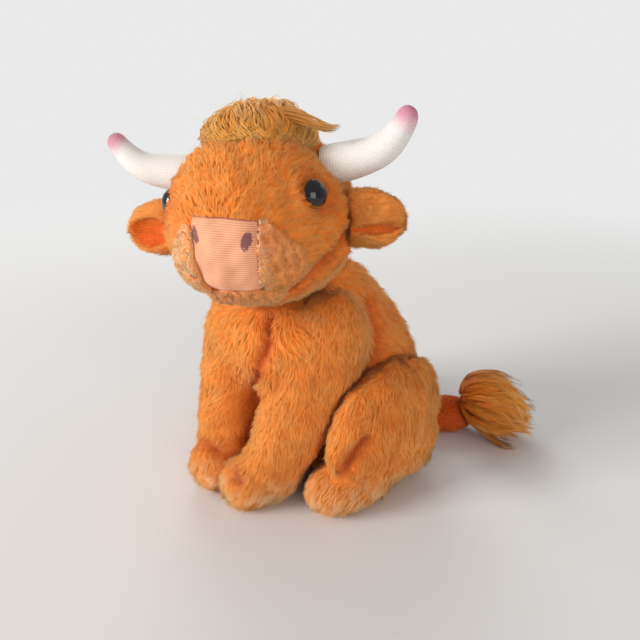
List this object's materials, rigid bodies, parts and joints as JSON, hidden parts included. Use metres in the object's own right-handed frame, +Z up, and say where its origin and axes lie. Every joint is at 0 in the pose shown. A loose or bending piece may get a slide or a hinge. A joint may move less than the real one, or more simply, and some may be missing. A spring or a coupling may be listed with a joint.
{
  "type": "plush highland cow",
  "caption": "Sitting plush cow with upswept horns, drooping ears, knitted nose, safety eyes and a curled tail; soft sprung head, legs, ears and tail turn by hand.",
  "frame": {"origin": "on the table top under the seat, on the toy's middle plane, on the underside of the seat panel", "axes": "+Z up; -Y the way the trunk faces; +X the cow's left"},
  "size_m": [0.1557, 0.1856, 0.1881],
  "materials": {
    "ginger_plush": "short ginger plush pile, matt, paler at the tips",
    "long_pile": "longer combed ginger pile, slightly glossy strands",
    "dark_plush": "darker red-brown short pile",
    "horn_tricot": "fine white warp knit, airbrushed pink at the tips",
    "nose_knit": "ribbed peach-pink stretch knit",
    "muzzle_suede": "tan suede cloth with a soft sheen and a fluffy edge",
    "eye_plastic": "glossy dark brown dome",
    "washer_plastic": "natural white polyethylene",
    "wadding": "white polyester fibre",
    "seat_cotton": "plain woven tan cloth"
  },
  "bodies": {
    "trunk": {"trunk": "ginger_plush", "seat_panel": "seat_cotton", "pellet_bag": "seat_cotton"},
    "neck": {"neck_stuffing": "wadding"},
    "head": {"head": "ginger_plush", "nose_panel": "nose_knit", "muzzle_left": "muzzle_suede", "muzzle_right": "muzzle_suede", "chin": "muzzle_suede", "eye_left": "eye_plastic", "eye_right": "eye_plastic", "eye_washer_left": "washer_plastic", "eye_washer_right": "washer_plastic", "forelock": "long_pile"},
    "horn_left": {"horn_left": "horn_tricot"},
    "horn_right": {"horn_right": "horn_tricot"},
    "ear_left": {"ear_left": "ginger_plush", "ear_lining_left": "dark_plush"},
    "ear_right": {"ear_right": "ginger_plush", "ear_lining_right": "dark_plush"},
    "front_leg_left": {"front_leg_left": "ginger_plush"},
    "front_leg_right": {"front_leg_right": "ginger_plush"},
    "hind_leg_left": {"hind_leg_left": "ginger_plush"},
    "hind_leg_right": {"hind_leg_right": "ginger_plush"},
    "tail": {"tail": "dark_plush"},
    "tail_tuft": {"tail_tuft": "long_pile"}
  },
  "joints": [
    {"name": "neck_turn", "type": "hinge", "parent": "trunk", "child": "neck", "pos_m": [0, -0.033, 0.14], "axis": [0, -0.5647, 0.8253], "range_deg": [-20, 20], "stiffness_Nm_per_rad": 0.15},
    {"name": "head_nod", "type": "hinge", "parent": "neck", "child": "head", "pos_m": [0, -0.033, 0.14], "axis": [1, 0, 0], "range_deg": [-10, 8], "stiffness_Nm_per_rad": 0.15},
    {"name": "horn_left_flex", "type": "hinge", "parent": "head", "child": "horn_left", "pos_m": [0.02362, -0.0187, 0.16779], "axis": [0.4384, -0.8988, 0], "range_deg": [-6, 6], "stiffness_Nm_per_rad": 0.04},
    {"name": "horn_right_flex", "type": "hinge", "parent": "head", "child": "horn_right", "pos_m": [-0.03013, -0.04491, 0.16204], "axis": [0.4384, -0.8988, 0], "range_deg": [-6, 6], "stiffness_Nm_per_rad": 0.04},
    {"name": "ear_left_flap", "type": "hinge", "parent": "head", "child": "ear_left", "pos_m": [0.03846, -0.02023, 0.14387], "axis": [-0.0861, -0.042, 0.9954], "range_deg": [-15, 15], "stiffness_Nm_per_rad": 0.02},
    {"name": "ear_right_flap", "type": "hinge", "parent": "head", "child": "ear_right", "pos_m": [-0.03375, -0.05545, 0.13613], "axis": [-0.0861, -0.042, 0.9954], "range_deg": [-15, 15], "stiffness_Nm_per_rad": 0.02},
    {"name": "front_leg_left_lift", "type": "hinge", "parent": "trunk", "child": "front_leg_left", "pos_m": [0, -0.008, 0.074], "axis": [0.995, 0, -0.0995], "range_deg": [-20, 0], "stiffness_Nm_per_rad": 0.3},
    {"name": "front_leg_right_lift", "type": "hinge", "parent": "trunk", "child": "front_leg_right", "pos_m": [0, -0.008, 0.074], "axis": [0.995, 0, -0.0995], "range_deg": [-20, 0], "stiffness_Nm_per_rad": 0.3},
    {"name": "hind_leg_left_splay", "type": "hinge", "parent": "trunk", "child": "hind_leg_left", "pos_m": [0.034, 0.044, 0], "axis": [0, 0, 1], "range_deg": [0, 18], "stiffness_Nm_per_rad": 0.3},
    {"name": "hind_leg_right_splay", "type": "hinge", "parent": "trunk", "child": "hind_leg_right", "pos_m": [-0.034, 0.044, 0], "axis": [0, 0, 1], "range_deg": [-18, 0], "stiffness_Nm_per_rad": 0.3},
    {"name": "tail_swing", "type": "hinge", "parent": "trunk", "child": "tail", "pos_m": [0.006, 0.05, 0.016], "axis": [0, 0, 1], "range_deg": [0, 40], "stiffness_Nm_per_rad": 0.08},
    {"name": "tuft_bend", "type": "hinge", "parent": "tail", "child": "tail_tuft", "pos_m": [0.055, 0.081, 0.01], "axis": [0, 0, 1], "range_deg": [-12, 12], "stiffness_Nm_per_rad": 0.04}
  ]
}
